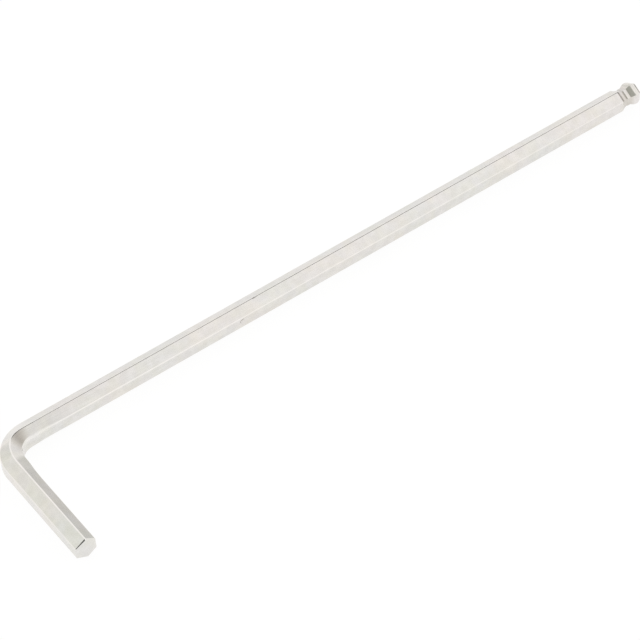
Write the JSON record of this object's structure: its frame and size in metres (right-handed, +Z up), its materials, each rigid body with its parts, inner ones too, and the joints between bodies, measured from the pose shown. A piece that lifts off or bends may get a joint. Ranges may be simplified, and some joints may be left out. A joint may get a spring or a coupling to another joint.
{
  "type": "hex key",
  "caption": "Long-arm L-shaped hexagonal key with a ball end, bent from one plated steel bar, lying flat.",
  "frame": {"origin": "centre of the key's bounding box, on the bench under its lower edges", "axes": "+X along the long arm towards the ball, short arm towards -Y, +Z up, square to the plane of the L"},
  "size_m": [0.144, 0.029, 0.0045],
  "materials": {
    "plated_steel": "satin nickel plate"
  },
  "bodies": {
    "root": {"hex_key": "plated_steel"}
  },
  "joints": []
}
